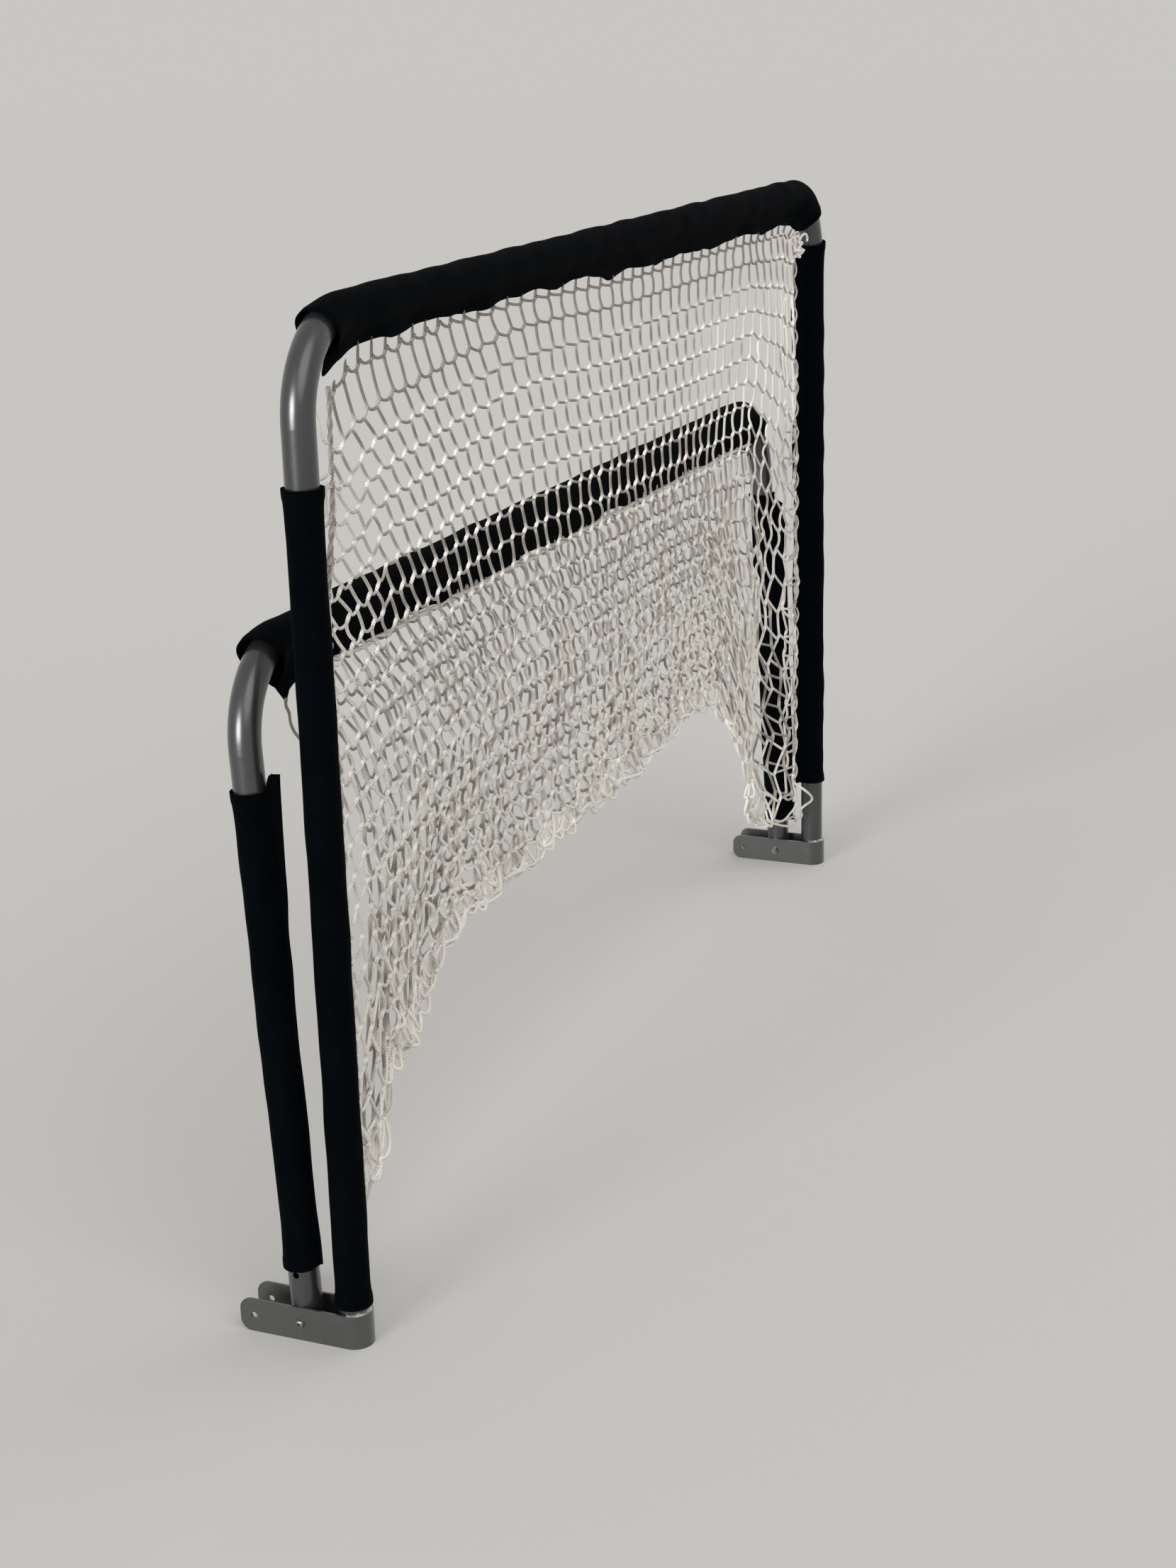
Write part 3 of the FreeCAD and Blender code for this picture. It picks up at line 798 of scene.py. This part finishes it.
def net():
    """The front and the rear layer, and the knots that they are made on."""
    knots, exists = lattice()
    front, rear = Cords(), Cords()
    weave_net(front, knots[:, :FRONT_ROWS + 1], exists[:, :FRONT_ROWS + 1])
    weave_net(rear, knots[:, FRONT_ROWS + 1:], exists[:, FRONT_ROWS + 1:], rising=True)
    fold_rim(rear, knots, exists)

    # short cords up into each flap, thinner where they go in
    taper = np.array((1.0, 1.0, 0.9, 0.3)) * CORD_R
    for i in range(len(knots)):
        if exists[i, 0]:
            x = knots[i, 0, 0] - 0.003
            into = FRONT.point(x, float(net_top(x)) + 0.003)
            front.add(bowed(knots[i, 0], into, 0.012, np.array((-1.0, 0, 0)), points=4), taper)
        into = REAR.point(knots[i, -1, 0], NET_REAR_H + 0.005)
        rear.add(bowed(knots[i, -1], into, 0.012, np.array((1.0, 0, 0)), points=4), taper)
    front_layer = front.piece("net_front_layer", CORD, "net_cord")
    rear_layer = rear.piece("net_rear_layer", CORD, "net_cord")
    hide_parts("net_front_fall")
    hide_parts("net_rear_rise")
    return front_layer, rear_layer, knots, exists


def side_net(name, side):
    """The side panel, gathered in pleats behind the post."""
    cords = Cords()
    columns = PANEL_COLUMNS[name]
    low = fold_height(side * EDGE_X) + 0.05
    z = np.linspace(PANEL_TOP_Z, low, PANEL_ROWS)
    front, back = edge_place(side, z), edge_place(side, z)
    back[:, :2] = side * PANEL_BACK_X[name], FRONT_Y + PANEL_DEPTH
    share = np.linspace(0, 1, columns)[:, None, None]
    grid = front * (1 - share) + back * share
    grid[..., 1] += 0.006 * (-1.0) ** np.arange(columns)[:, None] * np.sin(math.pi * share[..., 0])
    grid += rng.normal(size=grid.shape) * (0.0020, 0.0020, 0.004)
    grid[..., 0] = side * np.minimum(np.abs(grid[..., 0]), PANEL_LIMIT_X)
    weave_net(cords, grid, np.ones((columns, PANEL_ROWS), bool))
    piece = cords.piece(f"net_{name}_panel", CORD, "net_cord")
    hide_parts(f"net_{name}_side")
    return piece


def corner_knot(cords):
    """The net's upper right corner: a knot of several turns on the flap, with a curled tail."""
    turn = np.linspace(0, 2 * math.pi, 60)
    for k in range(3):
        middle = np.array((0.797, FRONT_Y - 0.006, 1.124 - 0.010 * k))
        loops = np.stack([np.cos(2 * turn + k), 0.6 * np.sin(3 * turn),
                          np.sin(2 * turn + 2 * k) * 0.8], axis=1)
        cords.add(middle + 0.008 * loops + 0.002 * rng.normal(size=3), CORD_R, 0.85)
    tail = ((0.797, -0.068, 1.118), (0.806, -0.071, 1.129), (0.820, -0.073, 1.132),
            (0.829, -0.074, 1.125), (0.826, -0.074, 1.119))
    cords.add(through(tail), CORD_R * 1.1, 0.9)
    tie = ((0.795, -0.068, 1.108), (0.806, -0.071, 1.102), (0.818, -0.072, 1.106))
    cords.add(through(tie), CORD_R, 0.9)
    flap_tie = ((0.800, -0.062, 1.118), (0.812, -0.058, 1.135), (0.806, -0.060, 1.142))
    cords.add(through(flap_tie), CORD_R, 0.8)


def corner_loops(cords):
    """The net's lower right corner: slack loops that hang over the foot of the post."""
    outer = ((0.824, -0.048, 0.172), (0.828, -0.070, 0.157), (0.853, -0.074, 0.138),
             (0.858, -0.071, 0.128), (0.829, -0.066, 0.126), (0.840, -0.058, 0.114),
             (0.856, -0.054, 0.098), (0.830, -0.048, 0.092), (0.795, -0.044, 0.098),
             (0.741, -0.032, 0.123), (0.731, -0.028, 0.146))
    cords.add(through(outer), CORD_R * 1.1, 0.75)
    inner = ((0.824, -0.048, 0.170), (0.826, -0.052, 0.150), (0.830, -0.052, 0.128),
             (0.806, -0.046, 0.115), (0.780, -0.042, 0.112), (0.752, -0.036, 0.122))
    cords.add(through(inner), CORD_R, 0.7)


def left_lacing(cords, low):
    """Rings that tie the net's left edge to the post sleeve's flap, and a tie at the bare tube."""
    for place in np.arange(low + 0.02, 0.92, 0.044):
        turn = np.linspace(0.3, 2 * math.pi + 0.1, 12)
        middle = edge_place(-1, place + rng.normal() * 0.003) + (-0.004, 0.0, 0.0)
        ring = np.stack([0.0060 * np.cos(turn), 0.0040 * np.sin(turn), 0.006 * np.cos(turn)], axis=1)
        cords.add(middle + ring, CORD_R * 0.9, 0.4)
    tie = ((-0.822, -0.058, 1.060), (-0.834, -0.056, 1.065), (-0.835, -0.052, 1.082),
           (-0.831, -0.045, 1.102), (-0.826, -0.045, 1.122))
    cords.add(through(tie), CORD_R, 0.8)


def right_lacing(cords, low):
    """Short slanting ties that hold the net's right edge to the turned flap."""
    for place in np.arange(low + 0.03, 1.07, 0.040):
        z = place + rng.normal() * 0.004
        lean = rng.uniform(0.002, 0.006)
        tie = edge_place(1, z + np.array((0.022, 0.010, 0.0, -0.006)))
        tie[:, 0] += np.array((0.001, lean, 0.001, -0.001))
        tie[:, 1] -= np.array((0.002, 0.004, 0.003, 0.0))
        path = through(tie)
        cords.add(path, CORD_R * np.linspace(0.7, 1.0, len(path)), 0.6)


def edge_cord(name, side, knots, exists):
    """The net's edge beside the post, laced to the sleeve's flap: two twisted cords on the left,
    and one on the right."""
    cords = Cords()
    low = float(fold_height(side * EDGE_X))
    z = np.arange(EDGE_TOP_Z, low, -0.006)
    sway = 0.0020 * ripples(90 + side, 0.10, 0.35, z)
    for start in (0, math.pi) if side < 0 else (0,):
        turn = start + z * 2 * math.pi / 0.034
        twist = np.stack([0.0016 * np.cos(turn) + side * sway, 0.0016 * np.sin(turn), 0 * z], axis=1)
        cords.add(edge_place(side, z) + twist, CORD_R, 0.40 + 0.3 * np.sin(turn))
    lacing = left_lacing if side < 0 else right_lacing
    lacing(cords, max(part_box(f"front_{name}_sleeve")[0].z, low))

    # rows end on this edge, and the columns that start below the corner come off it
    for k in range(FRONT_ROWS + 1):
        row = np.nonzero(exists[:, k])[0]
        end = knots[row[0] if side < 0 else row[-1], k]
        cords.add(bowed(edge_place(side, end[2] + 0.005), end, 0.02, DOWN), CORD_R, 0.4)
    for i in range(LEFT_EXTRA if side < 0 else RIGHT_EXTRA):
        column = i if side < 0 else len(knots) - 1 - i
        start = knots[column, int(np.argmax(exists[column]))]
        cords.add(bowed(edge_place(side, start[2] + 0.026), start, 0.03, DOWN), CORD_R, 0.2)
    if side > 0:
        corner_knot(cords)
        corner_loops(cords)
    piece = cords.piece(f"net_{name}_edge", CORD, "net_cord")
    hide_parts(f"net_{name}_edge_cord")
    return piece


def rear_rope():
    """The bunched edge of the net along the rear bar's flap, and a loose string at its left end."""
    cords = Cords()
    x = np.arange(REAR_TOP[0] - 0.012, REAR_TOP[1] + 0.0051, 0.005)
    bunch = 0.0018 + 0.0007 * ripples(31, 0.04, 0.15, x)
    for strand in range(3):
        turn = strand * 2.1 + x * 2 * math.pi / 0.045 + 0.8 * ripples(32 + strand, 0.05, 0.2, x)
        sway = 0.0015 * ripples(35, 0.10, 0.3, x)
        h = NET_REAR_H - 0.002 + bunch * np.cos(turn) + sway
        n = 0.0035 + bunch * np.sin(turn)
        cords.add(REAR.point(x, h, n), 0.0019, 0.6 + 0.3 * np.sin(turn))
    string_x = np.array((-0.805, -0.806, -0.801, -0.800, -0.794, -0.783))
    string_h = np.array((0.741, 0.732, 0.722, 0.710, 0.698, 0.686))
    for offset in (-0.0012, 0.0012):
        cords.add(through(REAR.point(string_x + offset, string_h, 0.005)), 0.0013, 0.15)
    return cords.piece("net_rear_rope", CORD, "net_cord")


def hang_net():
    """All that hangs from the front frame moves with it, and the rope along the rear bar with the
    rear frame. The rear layer, between the fold and the rear bar, is baked in place and attached to
    neither."""
    front_layer, rear_layer, knots, exists = net()
    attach(front_layer, FRONT_BODY)
    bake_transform(rear_layer)
    for name, side in SIDES.items():
        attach(side_net(name, side), FRONT_BODY)
        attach(edge_cord(name, side, knots, exists), FRONT_BODY)
    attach(rear_rope(), REAR_BODY)


# ---------------------------------------------------------------- stage, lights and camera
WORLD_LIGHT = 0.58
WORLD_TINT = (1.0, 0.98, 0.945)
FLOOR_COLOUR = (0.570, 0.565, 0.555)         # shows the same shade as the world when lit
FLOOR_R = 40.0
FLOOR_CORNERS = 64

# each light's name, direction, strength, softness in degrees and colour
SUNS = (
    ("low", (0.95, -0.19, -0.16), 2.7, 26, (1.0, 0.99, 0.97)),
    ("key", (0.55, 0.62, -0.75), 1.0, 50, (1.0, 0.98, 0.95)),
    ("side", (-0.8, 0.35, -0.5), 0.5, 60, (0.96, 0.98, 1.0)),
)

CAMERA_PLACE = (-3.1562, -1.3402, 1.5092)
CAMERA_YAW, CAMERA_PITCH, CAMERA_ROLL = 67.0, 17.69, -1.67    # degrees
CAMERA_LENS, CAMERA_SENSOR = 56.28, 36.0                      # millimetres


def stage():
    s = Shader("pale_floor")
    s.set(Base_Color=(*FLOOR_COLOUR, 1.0), Roughness=1.0, Specular_IOR_Level=0.0)
    mesh = bpy.data.meshes.new("floor")
    turns = [2 * math.pi * k / FLOOR_CORNERS for k in range(FLOOR_CORNERS)]
    ring = [(FLOOR_R * math.cos(turn), FLOOR_R * math.sin(turn), 0.0) for turn in turns]
    mesh.from_pydata(ring, [], [tuple(range(FLOOR_CORNERS))])
    mesh.materials.append(s.material)
    floor = bpy.data.objects.new("floor", mesh)
    bpy.context.scene.collection.objects.link(floor)

    world = bpy.data.worlds.new("studio")
    bpy.context.scene.world = world
    world.use_nodes = True
    background = world.node_tree.nodes["Background"]
    background.inputs["Color"].default_value = (*WORLD_TINT, 1.0)
    background.inputs["Strength"].default_value = WORLD_LIGHT
    bpy.context.scene.view_settings.view_transform = "Standard"


def sun(name, towards, strength, softness, colour):
    data = bpy.data.lights.new(name, "SUN")
    data.energy = strength
    data.angle = math.radians(softness)
    data.color = colour
    light = bpy.data.objects.new(name, data)
    light.rotation_euler = Vector(towards).to_track_quat("-Z", "Y").to_euler()
    bpy.context.scene.collection.objects.link(light)


def lights():
    for light in SUNS:
        sun(*light)


def camera():
    yaw, pitch, roll = (math.radians(a) for a in (CAMERA_YAW, CAMERA_PITCH, CAMERA_ROLL))
    flat = math.cos(pitch)
    ahead = Vector((math.sin(yaw) * flat, math.cos(yaw) * flat, -math.sin(pitch)))
    level = Vector((math.cos(yaw), -math.sin(yaw), 0))
    upward = level.cross(ahead)
    right = math.cos(roll) * level + math.sin(roll) * upward
    up = -math.sin(roll) * level + math.cos(roll) * upward
    data = bpy.data.cameras.new("camera")
    data.lens = CAMERA_LENS
    data.sensor_width = CAMERA_SENSOR
    view = bpy.data.objects.new("camera", data)
    facing = Matrix((right, up, -ahead)).transposed().to_4x4()
    view.matrix_world = Matrix.Translation(CAMERA_PLACE) @ facing
    bpy.context.scene.collection.objects.link(view)
    bpy.context.scene.camera = view


finish_cad_nodes()
front_bar_sleeve()
rear_bar_sleeve()
leg_sleeves()
hang_net()
stage()
lights()
camera()

bpy.context.view_layer.update()
